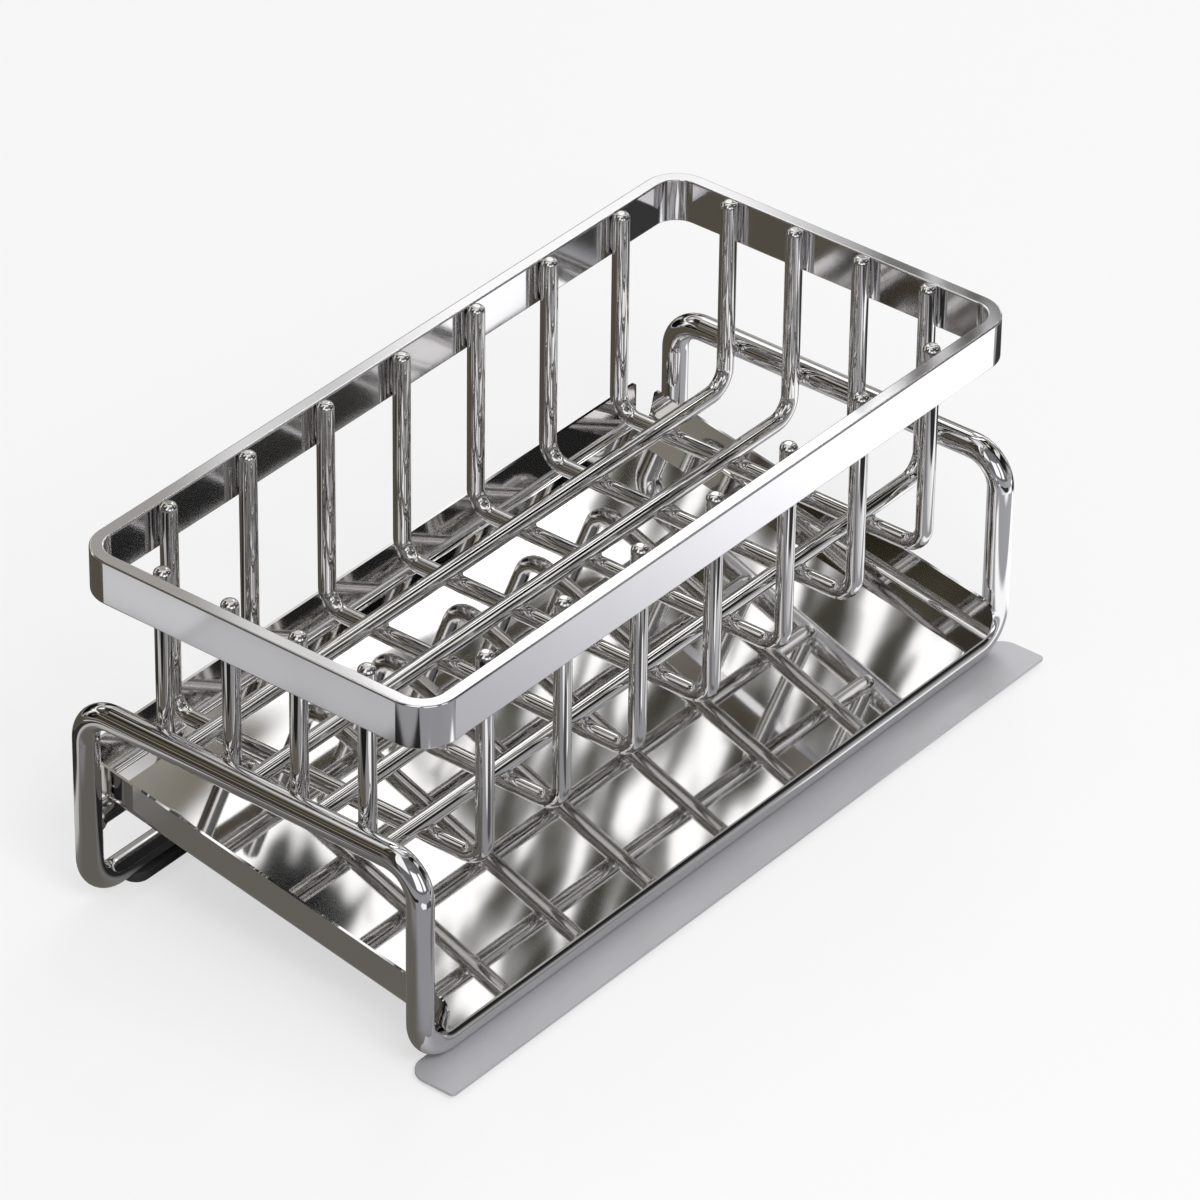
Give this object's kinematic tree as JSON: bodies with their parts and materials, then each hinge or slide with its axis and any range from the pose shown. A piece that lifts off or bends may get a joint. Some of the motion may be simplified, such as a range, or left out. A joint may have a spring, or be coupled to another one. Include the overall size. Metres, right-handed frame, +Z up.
{
  "type": "sink caddy",
  "caption": "Free-standing steel wire caddy for a sink: basket in a flat band on a bent rod frame, with a sloping drip tray that slides out to the rear.",
  "frame": {"origin": "on the counter, under the middle of the whole caddy's outline", "axes": "+X along the caddy to its right end, -Y to the front where the tray is lowest, +Z up"},
  "size_m": [0.31, 0.1625, 0.1372],
  "materials": {
    "band_steel": "mirror-polished stainless steel",
    "wire_steel": "mirror-polished stainless steel",
    "rod_steel": "mirror-polished stainless steel",
    "tray_steel": "semi-polished stainless sheet with soft reflections",
    "plate_steel": "satin stainless sheet",
    "rubber": "matt dark rubber"
  },
  "bodies": {
    "rack": {"support_frame": "rod_steel", "tray_rest_bar": "rod_steel", "front_drip_plate": "plate_steel", "top_band": "band_steel", "cross_wire_1": "wire_steel", "cross_wire_2": "wire_steel", "cross_wire_3": "wire_steel", "cross_wire_4": "wire_steel", "cross_wire_5": "wire_steel", "cross_wire_6": "wire_steel", "cross_wire_7": "wire_steel", "long_wire_1": "wire_steel", "long_wire_2": "wire_steel", "long_wire_3": "wire_steel", "long_wire_4": "wire_steel", "pad_front_left": "rubber", "pad_front_right": "rubber", "pad_rear_left": "rubber", "pad_rear_right": "rubber"},
    "drip_tray": {"drip_tray": "tray_steel"}
  },
  "joints": [
    {"name": "tray_slide", "type": "slide", "parent": "rack", "child": "drip_tray", "axis": [0, 0.9839, 0.1788], "range_m": [0, 0.13]}
  ]
}
